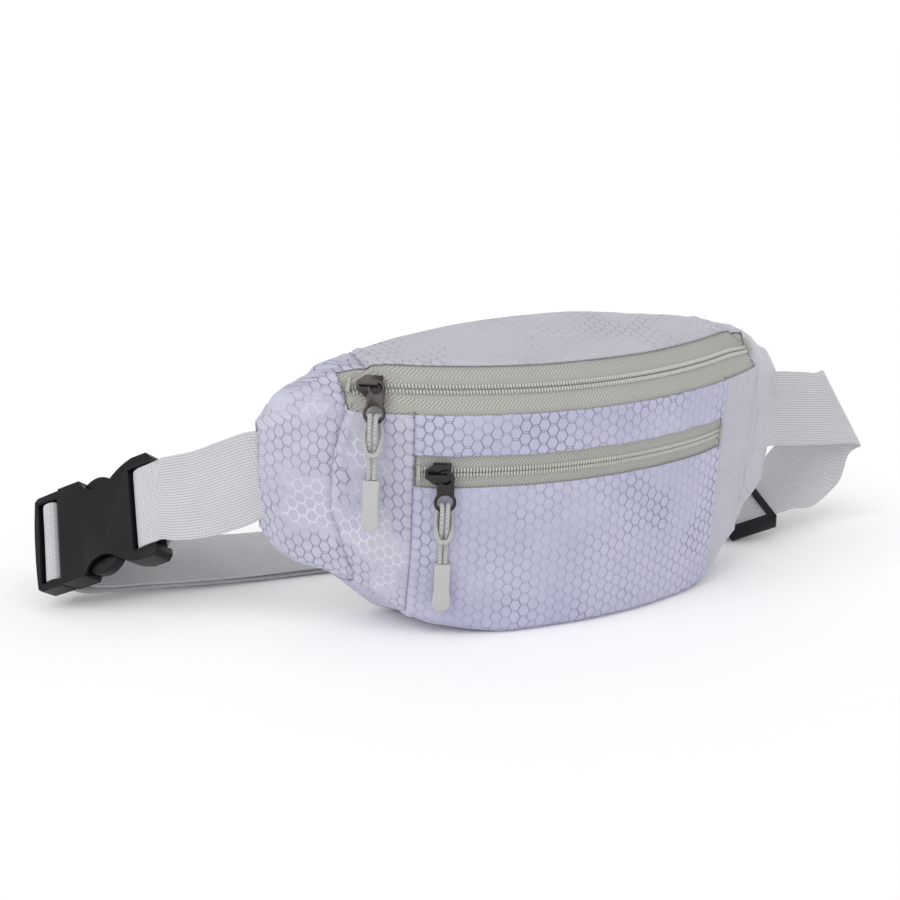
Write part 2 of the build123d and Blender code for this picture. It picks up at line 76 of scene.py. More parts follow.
class Net:
    """Short names for building a node material."""

    def __init__(self, name):
        self.mat = bpy.data.materials.new(name)
        self.mat.use_nodes = True
        self.tree = self.mat.node_tree
        self.tree.nodes.clear()
        self.shader = self.node("ShaderNodeBsdfPrincipled")
        out = self.node("ShaderNodeOutputMaterial")
        self.link(self.shader.outputs[0], out.inputs[0])

    def node(self, kind, **props):
        made = self.tree.nodes.new(kind)
        for key, value in props.items():
            setattr(made, key, value)
        return made

    def link(self, a, b):
        self.tree.links.new(a, b)

    def put(self, socket, value):
        if isinstance(value, bpy.types.NodeSocket):
            self.link(value, socket)
        else:
            socket.default_value = value

    def math(self, op, *values):
        made = self.node("ShaderNodeMath", operation=op)
        for socket, value in zip(made.inputs, values):
            self.put(socket, value)
        return made.outputs[0]

    def band(self, value, low, high):
        """0 below low, 1 above high, smooth between."""
        made = self.node("ShaderNodeMapRange", interpolation_type="SMOOTHSTEP")
        self.put(made.inputs["Value"], value)
        made.inputs["From Min"].default_value = low
        made.inputs["From Max"].default_value = high
        return made.outputs["Result"]

    def mix(self, share, a, b):
        made = self.node("ShaderNodeMix", data_type="RGBA")
        self.put(made.inputs[0], share)
        self.put(made.inputs[6], a)
        self.put(made.inputs[7], b)
        return made.outputs[2]

    def uv(self):
        """Position on the cloth in millimetres: across, and along."""
        source = self.node("ShaderNodeUVMap", uv_map="cloth")
        split = self.node("ShaderNodeSeparateXYZ")
        self.link(source.outputs[0], split.inputs[0])
        return self.math("MULTIPLY", split.outputs[0], 1000.0), self.math("MULTIPLY", split.outputs[1], 1000.0)

    def place(self):
        return self.node("ShaderNodeTexCoord").outputs["Object"]

    def noise(self, scale, detail):
        made = self.node("ShaderNodeTexNoise")
        self.link(self.place(), made.inputs["Vector"])
        made.inputs["Scale"].default_value = scale
        made.inputs["Detail"].default_value = detail
        made.inputs["Roughness"].default_value = NOISE_ROUGHNESS
        return made.outputs["Fac"]

    def bump(self, height, strength, distance):
        made = self.node("ShaderNodeBump")
        made.inputs["Strength"].default_value = strength
        made.inputs["Distance"].default_value = distance
        self.link(height, made.inputs["Height"])
        self.link(made.outputs[0], self.shader.inputs["Normal"])

    def finish(self, colour, roughness, sheen=0.0, metallic=0.0, specular=0.4):
        self.put(self.shader.inputs["Base Color"], colour)
        self.put(self.shader.inputs["Roughness"], roughness)
        self.shader.inputs["Metallic"].default_value = metallic
        self.shader.inputs["Specular IOR Level"].default_value = specular
        self.shader.inputs["Sheen Weight"].default_value = sheen
        self.shader.inputs["Sheen Roughness"].default_value = SHEEN_ROUGHNESS
        return self.mat


HEX_ACROSS, HEX_ALONG = 4.05, 5.55
SHEEN_LINE, GLINT = srgb(236, 236, 246), srgb(222, 222, 236)
DRIFT_SCALE, CLOUD_SCALE, SHEEN_SCALE = 21.0, 26.0, 34.0
THREAD_WAVE = 15.0


def honeycomb(name, light, dark, line, low, high, bright):
    """Coated ripstop with a woven honeycomb: slanted sides and a double dash at the top and bottom of each
    cell. low and high are the line strengths, which drift over the cloth where painted sheen washes the
    lines out, and bright is the share of lines painted light as sheen. A painted highlight runs along the
    middle of each double dash."""
    n = Net(name)
    u, v = n.uv()
    cells = []
    for shift in (0.0, 1.0):
        x = n.math("PINGPONG", n.math("ADD", n.math("DIVIDE", u, HEX_ACROSS), shift), 1.0)
        y = n.math("ADD", n.math("DIVIDE", v, HEX_ALONG), shift * 0.5)
        y = n.math("ABSOLUTE", n.math("SUBTRACT", n.math("FRACT", n.math("ADD", y, 0.5)), 0.5))
        slant = n.math("ADD", n.math("MULTIPLY", x, 0.75), n.math("MULTIPLY", y, 0.5))
        cells.append((n.math("MAXIMUM", slant, y), slant, y))
    pick = n.math("LESS_THAN", cells[1][0], cells[0][0])
    keep = n.math("SUBTRACT", 1.0, pick)
    slant, y = (n.math("ADD", n.math("MULTIPLY", cells[0][k], keep), n.math("MULTIPLY", cells[1][k], pick))
                for k in (1, 2))
    side = n.band(slant, 0.425, 0.475)
    flat = n.math("SUBTRACT", 1.0, n.band(slant, 0.43, 0.46))
    dash = n.math("MULTIPLY", n.band(y, 0.39, 0.42), n.math("SUBTRACT", 1.0, n.band(y, 0.445, 0.475)))
    dash = n.math("MULTIPLY", dash, flat)
    glint = n.math("MULTIPLY", n.band(y, 0.45, 0.48), flat)
    # painted sheen: noise patches where the lines fade, as a gloss would wash them out
    drift = n.band(n.noise(DRIFT_SCALE, 2.0), 0.40, 0.62)
    strength = n.math("ADD", low, n.math("MULTIPLY", drift, high - low))
    lines = n.math("MULTIPLY", n.math("MAXIMUM", side, dash), strength)
    thread = n.math("ADD", *(n.math("SINE", n.math("MULTIPLY", way, THREAD_WAVE)) for way in (u, v)))
    cloud = n.band(n.noise(CLOUD_SCALE, 5.0), 0.3, 0.7)
    base = n.mix(cloud, dark, light)
    # painted sheen: noise patches where the lines turn light instead of dark, for the share bright
    sheen_patches = n.math("MULTIPLY", n.band(n.noise(SHEEN_SCALE, 2.0), 0.44, 0.56), bright)
    base = n.mix(lines, base, n.mix(sheen_patches, line, SHEEN_LINE))
    # painted highlight along the middle of each double dash
    base = n.mix(n.math("MULTIPLY", glint, 0.35), base, GLINT)
    relief = n.math("SUBTRACT", n.math("MULTIPLY", thread, 0.05), n.math("MAXIMUM", side, dash))
    n.bump(relief, 0.4, 0.00025)
    return n.finish(base, n.math("ADD", 0.42, n.math("MULTIPLY", lines, 0.2)), sheen=0.1)


def weave(name, colour, dark, across, along, depth=0.5, slope=0.0):
    """Plain weave, or herringbone where a slope is given: threads across and along the cloth, in
    millimetres."""
    n = Net(name)
    u, v = n.uv()
    if slope:
        u = n.math("ADD", u, n.math("PINGPONG", v, slope))
    warp = n.math("SINE", n.math("MULTIPLY", u, math.pi / across))
    weft = n.math("SINE", n.math("MULTIPLY", v, math.pi / along))
    bumps = n.math("MULTIPLY", n.math("ABSOLUTE", warp), n.math("ADD", 0.45, n.math("ABSOLUTE", weft)))
    cross = warp if slope else n.math("SUBTRACT", bumps, 0.5)
    share = n.band(cross, -0.5, 0.35)
    cloud = n.band(n.noise(45.0, 4.0), 0.25, 0.75)
    base = n.mix(share, dark, colour)
    base = n.mix(n.math("MULTIPLY", cloud, 0.18), base, dark)
    n.bump(cross, depth, 0.00015)
    return n.finish(base, 0.85, sheen=0.25, specular=0.25)


def moulded(name, colour, light, rough, grain=900.0, metallic=0.0, specular=0.5, depth=0.15):
    """Moulded plastic, rubber or die-cast metal with a fine grain and slight wear."""
    n = Net(name)
    fine = n.noise(grain, 4.0)
    wide = n.band(n.noise(60.0, 5.0), 0.35, 0.75)
    base = n.mix(n.math("MULTIPLY", wide, 0.35), colour, light)
    n.bump(fine, depth, 0.00012)
    worn = n.math("ADD", rough, n.math("MULTIPLY", wide, 0.08))
    return n.finish(base, worn, metallic=metallic, specular=specular)


def braid(name, colour, dark):
    """Round braided cord."""
    n = Net(name)
    wave = n.node("ShaderNodeTexWave", wave_type="BANDS", bands_direction="DIAGONAL")
    n.link(n.place(), wave.inputs["Vector"])
    wave.inputs["Scale"].default_value = 420.0
    wave.inputs["Distortion"].default_value = 4.0
    base = n.mix(n.band(wave.outputs["Fac"], 0.2, 0.8), dark, colour)
    n.bump(wave.outputs["Fac"], 0.5, 0.0002)
    return n.finish(base, 0.8, sheen=0.2, specular=0.25)


# Four copies of one cloth, set per panel to how the light falls on it: the tints and the strength and lightness
# of the lines differ side to side as painted light, sheen and shade, not as different cloth.
HEX_FRONT = honeycomb("honeycomb_front", srgb(196, 196, 217), srgb(184, 185, 210), srgb(122, 121, 156),
                      0.45, 1.0, 0.25)
HEX_LEFT = honeycomb("honeycomb_left", srgb(199, 199, 214), srgb(187, 187, 206), srgb(134, 132, 160),
                     0.55, 1.0, 0.9)
HEX_RIGHT = honeycomb("honeycomb_right", srgb(194, 192, 204), srgb(188, 186, 198), srgb(156, 154, 176),
                      0.0, 0.22, 0.3)
HEX_TOP = honeycomb("honeycomb_top", srgb(198, 196, 205), srgb(190, 188, 199), srgb(140, 138, 160),
                    0.15, 0.65, 0.5)
TAPE = weave("zip_tape_weave", srgb(193, 192, 187), srgb(160, 159, 154), 0.8, 0.6, 0.5, slope=3.4)
LINING = weave("lining_weave", srgb(190, 190, 205), srgb(168, 168, 186), 0.6, 0.6)
MESH = weave("padding_mesh", srgb(196, 196, 208), srgb(140, 140, 156), 2.4, 2.4, 1.0)
WEB = weave("webbing_weave", srgb(216, 216, 219), srgb(170, 170, 176), 1.2, 1.4, 0.6)
THREAD = weave("seam_thread", srgb(168, 166, 190), srgb(112, 108, 140), 0.5, 0.5)
COIL = moulded("zip_coil_nylon", srgb(206, 205, 198), srgb(216, 215, 208), 0.42, depth=0.05)
BLACK = moulded("black_plastic_grain", srgb(15, 14, 20), srgb(24, 23, 30), 0.38, 1400.0, specular=0.22,
                depth=0.2)
METAL = moulded("gunmetal", srgb(62, 60, 62), srgb(104, 94, 88), 0.26, 700.0, metallic=0.9, depth=0.08)
RUBBER = moulded("pull_rubber_matte", srgb(190, 190, 190), srgb(198, 198, 198), 0.6, 1600.0, depth=0.2)
TAPE_END = moulded("zip_end_nylon", srgb(176, 176, 172), srgb(190, 190, 186), 0.6, depth=0.2)
CORD = braid("pull_cord_braid", srgb(198, 198, 196), srgb(172, 172, 174))


# ------------------------------------------------------------------ mesh helpers
def mesh_piece(name, points, faces, uv, material, slot, body, replaces=()):
    """Object from points in millimetres, with its place on the cloth. A piece without a body is left
    unattached."""
    data = bpy.data.meshes.new(name)
    data.from_pydata([tuple(p) for p in np.asarray(points, float) * MM], [],
                     [tuple(map(int, f)) for f in faces])
    layer = data.uv_layers.new(name="cloth")
    loops = np.zeros(len(data.loops), int)
    data.loops.foreach_get("vertex_index", loops)
    layer.data.foreach_set("uv", (np.asarray(uv)[loops] * MM).ravel())
    obj = bpy.data.objects.new(name, data)
    bpy.context.scene.collection.objects.link(obj)
    data.materials.append(material)
    data.polygons.foreach_set("use_smooth", [True] * len(data.polygons))
    data.update()
    if replaces:
        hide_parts(*replaces)
    if body:
        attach(obj, body)
    return obj


def thicken(obj, depth):
    """Cloth thickness, inward."""
    mod = obj.modifiers.new("thickness", "SOLIDIFY")
    mod.thickness = depth * MM
    mod.offset = -1
    mod.use_even_offset = False
    return obj


MERGE = 2e-6
FLAT_ANGLE, EDGE_ANGLE = math.radians(1.5), math.radians(35)


def refined(node, name, material, body, width, segments=3):
    """Detailed copy of a hard CAD node: clean faces, and edges rounded by width millimetres."""
    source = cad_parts[node]
    data = source.data.copy()
    data.name = name
    work = bmesh.new()
    work.from_mesh(data)
    bmesh.ops.remove_doubles(work, verts=work.verts, dist=MERGE)
    bmesh.ops.dissolve_limit(work, angle_limit=FLAT_ANGLE, verts=work.verts, edges=work.edges)
    work.to_mesh(data)
    work.free()
    data.materials.clear()
    data.materials.append(material)
    obj = bpy.data.objects.new(name, data)
    bpy.context.scene.collection.objects.link(obj)
    mod = obj.modifiers.new("edges", "BEVEL")
    mod.width = width * MM
    mod.segments = segments
    mod.limit_method = "ANGLE"
    mod.angle_limit = EDGE_ANGLE
    mod.harden_normals = True
    data.polygons.foreach_set("use_smooth", [True] * len(data.polygons))
    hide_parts(node)
    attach(obj, body)


# ------------------------------------------------------------------ bag surface as one grid
def smooth_rows(values, sigma, wrap):
    """Gaussian smoothing of evenly spaced samples, along the first axis."""
    reach = int(3 * sigma) + 1
    kernel = np.exp(-0.5 * (np.arange(-reach, reach + 1) / sigma) ** 2)
    kernel /= kernel.sum()
    padded = np.pad(values, ((reach, reach), (0, 0)), mode="wrap" if wrap else "edge")
    return np.stack([np.convolve(padded[:, k], kernel, mode="valid") for k in range(values.shape[1])], 1)


def step(x, low, high):
    t = np.clip((x - low) / (high - low), 0, 1)
    return t * t * (3 - 2 * t)


SAMPLES_X = np.arange(-TIP_X, TIP_X + 0.5, 0.5)
HEIGHT, SHOULDER_DROP = 130, 10.5


def edge_curve(xs, zs, crown):
    """Outline in front view: straight runs with rounded corners, and a crown over the middle of the top."""
    raw = np.interp(np.abs(SAMPLES_X), xs, zs)
    if crown:
        raw = np.where(np.abs(SAMPLES_X) < xs[0], HEIGHT - SHOULDER_DROP * (SAMPLES_X / xs[0]) ** 2, raw)
    return smooth_rows(raw[:, None], 5, False)[:, 0]


LOW_CURVE = edge_curve(LOW_X, LOW_Z, False)
HIGH_CURVE = edge_curve(HIGH_X, HIGH_Z, True)


def on_band(x, radius, height):
    """y and z of a point on the tilted cylinder front."""
    v = AXIS_DEPTH - math.sqrt(radius ** 2 - x ** 2)
    return v * COS - height * SIN, v * SIN + height * COS


BACK_Y, BACK_BOW, BACK_REACH = 13, 7, 140
TIP_THICKNESS, TIP_EDGE = 2.6, 0.4


def section(x):
    """Corners of the bag's section at x: back low, front low, band low, band high, back high."""
    low, high = np.interp(x, SAMPLES_X, LOW_CURVE), np.interp(x, SAMPLES_X, HIGH_CURVE)
    back = BACK_Y - BACK_BOW * (x / BACK_REACH) ** 2
    v = AXIS_DEPTH - math.sqrt(FRONT_RADIUS ** 2 - x ** 2)
    start = (low - v * SIN) / COS
    fade = step(abs(x), 97, 112)
    top = BAND_LOW[1] * (1 - fade) + fade * ((low + 0.90 * (high - low) - v * SIN) / COS)
    y1, _ = on_band(x, FRONT_RADIUS, start)
    y2, z2 = on_band(x, FRONT_RADIUS, top)
    y3, z3 = on_band(x, BAND_HIGH[0], BAND_HIGH[1])
    z3 = (1 - fade) * min(z3, high - 0.6) + fade * (high - 0.5)
    y3 = (1 - fade) * y3 + fade * (0.5 * y2 + 0.5 * back)
    thin = TIP_THICKNESS * (1 - step(abs(x), 127, TIP_X)) + TIP_EDGE
    y1, y2, y3 = (min(y, back - thin) for y in (y1, y2, y3))
    return np.array([(back, low), (y1, low), (y2, z2), (y3, z3), (back, high)])


def rows_between(start, end, count):
    return list(np.linspace(start, end, count, endpoint=False))


# The rows run round the section: bottom, front, zip band, top, back. The whole part of a row's parameter is
# its side of the section, and the rest is the share of that side.
POCKET_A, POCKET_B = POCKET_TEETH - GAP, POCKET_TEETH + GAP
BAND_A, BAND_B = MAIN_TEETH - GAP, MAIN_TEETH + GAP
BOTTOM_ROWS, TOP_ROWS, BACK_ROWS, FRONT_START = 26, 40, 60, 4
HEIGHTS = (rows_between(FRONT_START, 12, 7) + rows_between(12, 66, 34) + rows_between(66, POCKET_LOW, 9)
           + rows_between(POCKET_LOW, POCKET_A, 6) + rows_between(POCKET_A, POCKET_B, 2)
           + rows_between(POCKET_B, POCKET_HIGH, 6) + rows_between(POCKET_HIGH, BAND_LOW[1], 20))
BANDS = rows_between(0, BAND_A, 10) + rows_between(BAND_A, BAND_B, 2) + rows_between(BAND_B, BAND_LENGTH, 9)
ROWS = np.array([k / BOTTOM_ROWS for k in range(BOTTOM_ROWS)]
                + [1 + (h - FRONT_START) / (BAND_LOW[1] - FRONT_START) for h in HEIGHTS]
                + [2 + b / BAND_LENGTH for b in BANDS]
                + [3 + k / TOP_ROWS for k in range(TOP_ROWS)] + [4 + k / BACK_ROWS for k in range(BACK_ROWS)])
ROW_BAND = BOTTOM_ROWS + len(HEIGHTS)
ROW_TOP = ROW_BAND + len(BANDS)
ROW_BACK = ROW_TOP + TOP_ROWS


def row_of(height):
    return BOTTOM_ROWS + int(np.argmin(np.abs(np.array(HEIGHTS) - height)))


def band_row(along):
    return ROW_BAND + int(np.argmin(np.abs(np.array(BANDS) - along)))


half_columns = sorted(set([round(k * 1.5, 3) for k in range(0, 68)]
                          + [SEAM_X + k * 0.5 for k in range(-8, 9)]
                          + [round(TAPE_X + k * 0.8, 3) for k in range(0, 39)] + [TIP_X]))
COLUMNS = np.array([-x for x in reversed(half_columns) if x > 0] + half_columns)


def soft_section(x):
    """Section with rounded corners, at the parameters in ROWS."""
    corners = section(x)
    sizes = np.linalg.norm(np.roll(corners, -1, 0) - corners, axis=1)
    marks = np.concatenate([[0], np.cumsum(sizes)])
    loop = np.vstack([corners, corners[:1]])
    count = int(marks[-1] / 0.5)
    dense = np.linspace(0, marks[-1], count, endpoint=False)
    samples = np.stack([np.interp(dense, marks, loop[:, k]) for k in range(2)], 1)
    sigma = 2 * (1.9 - 0.8 * step(abs(x), 90, 125))
    samples = smooth_rows(samples, sigma, True)
    samples = np.vstack([samples, samples[:1]])
    dense = np.append(dense, marks[-1])
    which = np.minimum(ROWS.astype(int), 4)
    at = marks[which] + (ROWS - which) * sizes[which]
    return np.stack([np.interp(at, dense, samples[:, k]) for k in range(2)], 1)


GRID = np.zeros((len(COLUMNS), len(ROWS), 3))
for column, x in enumerate(COLUMNS):
    GRID[column, :, 0] = x
    GRID[column, :, 1:] = soft_section(x)


def normals_of(grid):
    du = np.gradient(grid, axis=0)
    dv = (np.roll(grid, -1, 1) - np.roll(grid, 1, 1)) / 2
    out = np.cross(dv, du)
    out /= np.linalg.norm(out, axis=2, keepdims=True) + 1e-9
    return -out


def waves(x, y, size, seed, count=6):
    """Smooth irregular field in -1..1 from a few seeded waves."""
    random = np.random.default_rng(seed)
    total = np.zeros(np.broadcast(x, y).shape)
    for _ in range(count):
        angle, phase = random.uniform(0, 2 * math.pi, 2)
        scale = size * random.uniform(0.7, 1.6)
        total += np.sin((x * math.cos(angle) + y * math.sin(angle)) * 2 * math.pi / scale + phase)
    return total / count * 1.6


def cloth_lengths(grid):
    """Distance across and along the cloth from its middle, for the weave."""
    middle, start = len(COLUMNS) // 2, row_of(50)
    widths = np.linalg.norm(np.diff(grid, axis=0), axis=2)
    across = np.concatenate([[0 * grid[0, :, 0]], np.cumsum(widths, 0)])
    across -= across[middle]
    heights = np.linalg.norm(np.diff(grid, axis=1), axis=2)
    along = np.concatenate([0 * grid[:, :1, 0], np.cumsum(heights, 1)], 1)
    along -= along[:, start:start + 1]
    return across, along


X = GRID[:, :, 0]
Z = GRID[:, :, 2]
ACROSS, ALONG = cloth_lengths(GRID)
ROW_INDEX = np.broadcast_to(np.arange(len(ROWS)), X.shape)


def along_of(row):
    return ALONG[:, row:row + 1]


def groove(distance, width):
    return np.exp(-(distance / width) ** 2)


WING_SEAM_Z = (0, 28, 45, 60, 85, 112, 122)
WING_SEAM_X = (99, 98, 103, 107, 106, 100, 87)
wing_line = np.interp(Z, WING_SEAM_Z, WING_SEAM_X)
front_rows = (ROW_INDEX >= 20) & (ROW_INDEX < ROW_BACK)
# how far each feature stands out of the plain form, in millimetres
SLACK_WIDE, SLACK_FINE, CALM_SHARE = 0.55, 0.22, 0.25
SIDE_FOLD, SIDE_CREASE = 0.9, 0.5
TOP_CROWN, TOP_FOLD = 0.8, 0.9
PUCKER, SEAM_PUCKER, WING_PUCKER = 0.42, 0.4, 0.55
SEAM_RIDGE, SEAM_DEPTH, SEAM_STEP = 0.7, 1.3, 0.7
WING_SEAM_DEPTH, WING_SEAM_RIDGE = 1.5, 0.6
lift = np.zeros_like(X)
# body of each panel: gentle crown and slack folds
pocket_share = np.clip((ALONG - along_of(BOTTOM_ROWS)) / 70, 0, 1)
crown = np.clip(1 - (X / SEAM_X) ** 4, 0, 1) * np.sin(pocket_share * math.pi)
lift += np.where((ROW_INDEX >= BOTTOM_ROWS) & (ROW_INDEX < row_of(POCKET_LOW)), crown, 0)
beside_zips = (ROW_INDEX >= row_of(60)) & (ROW_INDEX < ROW_TOP + 2) & (np.abs(X) < TAPE_X)
calm = np.where(beside_zips, CALM_SHARE, 1.0)
lift += calm * SLACK_WIDE * waves(X, ALONG, 46, 3) + calm * SLACK_FINE * waves(X, ALONG, 17, 5)
side = step(np.abs(X), 78, 96) * np.where(front_rows, 1, 0)
lift += side * calm * (SIDE_FOLD * waves(X, ALONG * 0.6, 22, 11) + SIDE_CREASE * waves(X, ALONG, 11, 12))
top_rows = (ROW_INDEX >= ROW_TOP) & (ROW_INDEX < ROW_BACK)
rise = np.sin(np.clip((ROW_INDEX - ROW_TOP) / TOP_ROWS, 0, 1) * math.pi)
lift += np.where(top_rows, rise * (TOP_CROWN + TOP_FOLD * waves(X * 0.8, ALONG, 34, 21)), 0)
# puckers that run out of the sewn edges
for row, reach, seed in ((row_of(POCKET_LOW), -7, 31), (row_of(POCKET_HIGH), 5, 32), (ROW_BAND, -6, 33),
                         (ROW_TOP, 9, 34)):
    away = (ALONG - along_of(row)) / reach
    ripple = waves(X, 0 * X, 13, seed, 5)
    lift += np.where(away > 0, np.exp(-away) * (PUCKER * ripple) * np.minimum(away * 6, 1), 0)
for seam, seed in ((SEAM_X, 41), (-SEAM_X, 42)):
    away = X - seam
    ripple = np.exp(-np.abs(away) / 6) * SEAM_PUCKER * waves(0 * X, ALONG, 15, seed, 5)
    lift += np.where(front_rows, ripple, 0)
away = np.abs(X) - wing_line
lift += np.where(front_rows, np.exp(-np.abs(away) / 7) * WING_PUCKER * waves(0 * X, Z, 14, 51, 5), 0)
# sewn seams pull in
seam_rows = front_rows & (ROW_INDEX < ROW_BAND + 1)
past_seam = np.abs(X) - SEAM_X
seam_form = SEAM_RIDGE * groove(past_seam + 1.6, 1.3) - SEAM_DEPTH * groove(past_seam - 0.4, 0.8)
lift += np.where(seam_rows, seam_form, 0)
lift -= np.where(seam_rows & (np.abs(X) > SEAM_X), SEAM_STEP * np.exp(-past_seam / 9), 0)
lift -= np.where(front_rows, WING_SEAM_DEPTH * groove(away, 1.1), 0)
lift += np.where(front_rows, WING_SEAM_RIDGE * groove(away + 2.4, 1.5), 0)
for row, depth in ((BOTTOM_ROWS, 0.9), (ROW_BACK, 1.2), (0, 0.8)):
    lift -= depth * groove(ALONG - along_of(row), 1.6) * np.where(np.abs(X) < 126, 1, 0)
lift *= 1 - 0.8 * step(np.abs(X), 122, 131)
NORMALS = normals_of(GRID)
GRID = GRID + NORMALS * lift[:, :, None]
# the emptier left end sags: its lower front corner lifts off the floor
corner = step(-X, 30, 84) * (1 - step(Z, 2, 46)) * step(-GRID[:, :, 1], -14, 22)
CORNER_RISE, CORNER_BACK, LOWEST = 7.0, 3.0, 0.25
GRID[:, :, 2] += CORNER_RISE * corner
GRID[:, :, 1] += CORNER_BACK * corner
GRID[:, :, 2] = np.maximum(GRID[:, :, 2], LOWEST)
NORMALS = normals_of(GRID)


def patch(name, keep, material, slot, nodes, sink=0.0, depth=1.0):
    """Piece of the bag's surface: the cells that keep says, as its own cloth."""
    corner = np.arange(GRID.shape[0] * GRID.shape[1]).reshape(GRID.shape[:2])
    nxt = np.roll(corner, -1, 1)
    faces = np.stack([corner[:-1], nxt[:-1], nxt[1:], corner[1:]], 2)[keep]
    points = (GRID - NORMALS * sink).reshape(-1, 3)
    uv = np.stack([ACROSS, ALONG], 2).reshape(-1, 2)
    used, where = np.unique(faces, return_inverse=True)
    obj = mesh_piece(name, points[used], where.reshape(-1, 4), uv[used], material, slot, "bag", nodes)
    return thicken(obj, depth)


CELL_X = (X[:-1] + X[1:]) / 2
CELL_ROW = ROW_INDEX[:-1]
CELL_WING = (np.abs(X[:-1]) + np.abs(X[1:])) / 2 > (wing_line[:-1] + wing_line[1:]) / 2
zip_band = (CELL_ROW >= ROW_BAND) & (CELL_ROW < ROW_TOP) & (np.abs(CELL_X) < TAPE_X)
pocket_zip = (CELL_ROW >= row_of(POCKET_LOW)) & (CELL_ROW < row_of(POCKET_HIGH)) & (np.abs(CELL_X) < SEAM_X)
back = (CELL_ROW >= ROW_BACK)
bottom = CELL_ROW < BOTTOM_ROWS
free = ~zip_band & ~pocket_zip & ~back
front = free & ~bottom & (CELL_ROW < ROW_BAND) & (np.abs(CELL_X) < SEAM_X)
top = free & (CELL_ROW >= ROW_TOP) & ~CELL_WING
sides = free & ~bottom & ~front & ~top & ~CELL_WING
wings = (free & CELL_WING) | ((bottom | back) & (np.abs(CELL_X) > WING_X))
patch("shell_pocket", front & (CELL_ROW < row_of(POCKET_LOW)), HEX_FRONT, "shell_fabric", ["pocket_panel"])
patch("shell_strip", front & (CELL_ROW >= row_of(POCKET_HIGH)), HEX_FRONT, "shell_fabric", ["strip_panel"])
patch("shell_top", top, HEX_TOP, "shell_fabric", ["top_panel"])
patch("shell_bottom", bottom & ~wings, HEX_FRONT, "shell_fabric", ["bottom_panel"])
padded_back = patch("shell_back", back & ~wings, MESH, "padding", ["back_panel", "back_padding"], depth=2.0)
for label, sign, cloth, wing_cloth in (("left", -1, HEX_LEFT, HEX_LEFT), ("right", 1, HEX_RIGHT, HEX_TOP)):
    patch(f"shell_side_{label}", sides & (CELL_X * sign > 0), cloth, "shell_fabric", [f"side_panel_{label}"])
    patch(f"shell_wing_{label}", wings & (CELL_X * sign > 0), wing_cloth, "shell_fabric", [f"wing_{label}"],
          depth=0.5)
lining = front & (CELL_ROW < row_of(POCKET_LOW)) & (CELL_ROW > row_of(8)) & (np.abs(CELL_X) < 70)
patch("pocket_lining", lining, LINING, "lining", ["pocket_divider"], sink=9.0, depth=0.6)


def tape_rows(first, last, limit):
    return (CELL_ROW >= first) & (CELL_ROW < last) & (np.abs(CELL_X) < limit)


TAPE_SINK, TAPE_THICKNESS, TUCK = 1.0, 0.6, 2
for zip_name, low, teeth, high, limit in (
        ("main", ROW_BAND, band_row(BAND_A), ROW_TOP, TAPE_X + 1),
        ("pocket", row_of(POCKET_LOW), row_of(POCKET_A), row_of(POCKET_HIGH), SEAM_X + 1)):
    patch(f"{zip_name}_tape_low", tape_rows(low - TUCK, teeth + 1, limit), TAPE, "zip_tape",
          [f"{zip_name}_tape_lower"], TAPE_SINK, TAPE_THICKNESS)
    patch(f"{zip_name}_tape_high", tape_rows(teeth + 1, high + TUCK, limit), TAPE, "zip_tape",
          [f"{zip_name}_tape_upper"], TAPE_SINK, TAPE_THICKNESS)


# ------------------------------------------------------------------ things laid on the surface
def at_surface(x, row, out=0.0):
    """Point and normal of the surface at x, on a row that may lie between two rows."""
    index = np.interp(x, COLUMNS, np.arange(len(COLUMNS)))
    i, j = int(min(index, len(COLUMNS) - 2)), int(row) % len(ROWS)
    k = (j + 1) % len(ROWS)
    a, b = index - i, row - int(row)
    weights = (((1 - a) * (1 - b), i, j), (a * (1 - b), i + 1, j), ((1 - a) * b, i, k), (a * b, i + 1, k))
    point = sum(w * GRID[p, q] for w, p, q in weights)
    normal = sum(w * NORMALS[p, q] for w, p, q in weights)
    normal = normal / np.linalg.norm(normal)
    return point + normal * out, normal


BEAD = [(-0.5, -0.5, -0.5), (0.5, -0.5, -0.5), (0.5, 0.5, -0.5), (-0.5, 0.5, -0.5),
        (-0.32, -0.36, 0.5), (0.32, -0.36, 0.5), (0.32, 0.36, 0.5), (-0.32, 0.36, 0.5)]
BEAD_FACES = [(0, 3, 2, 1), (4, 5, 6, 7), (0, 1, 5, 4), (1, 2, 6, 5), (2, 3, 7, 6), (3, 0, 4, 7)]


def beads(places, size):
    """Many small rounded bars: each place is (middle, direction, normal)."""
    points, faces, uv = [], [], []
    for middle, direction, normal in places:
        direction = direction / np.linalg.norm(direction)
        cross = np.cross(normal, direction)
        start = len(points)
        for a, b, c in BEAD:
            points.append(middle + direction * a * size[0] + cross * b * size[1] + normal * c * size[2])
            uv.append((a * size[0], b * size[1]))
        faces += [tuple(start + q for q in face) for face in BEAD_FACES]
    return points, faces, uv


STITCH_PITCH, STITCH_OUT, STITCH_SIZE = 3.2, 0.05, (2.3, 0.42, 0.36)
STITCH_INSET = 2.2


def stitch_line(track):
    """Places of stitches along a track of (x, row) pairs."""
    dense = [at_surface(x, row, STITCH_OUT) for x, row in track]
    line = np.array([p for p, _ in dense])
    norm = np.array([q for _, q in dense])
    marks = np.concatenate([[0], np.cumsum(np.linalg.norm(np.diff(line, axis=0), axis=1))])

    def along(mark, values):
        return np.array([np.interp(mark, marks, values[:, k]) for k in range(3)])

    places = []
    for mark in np.arange(STITCH_PITCH / 2, marks[-1], STITCH_PITCH):
        normal = along(mark, norm)
        direction = along(mark + 0.6, line) - along(mark - 0.6, line)
        places.append((along(mark, line), direction, normal / np.linalg.norm(normal)))
    return places


def level(row, low=-SEAM_X + 2, high=SEAM_X - 2):
    return [(x, row) for x in np.arange(low, high, 1.5)]


def upright(x, low, high):
    return [(x, row) for row in np.arange(low, high, 0.7)]


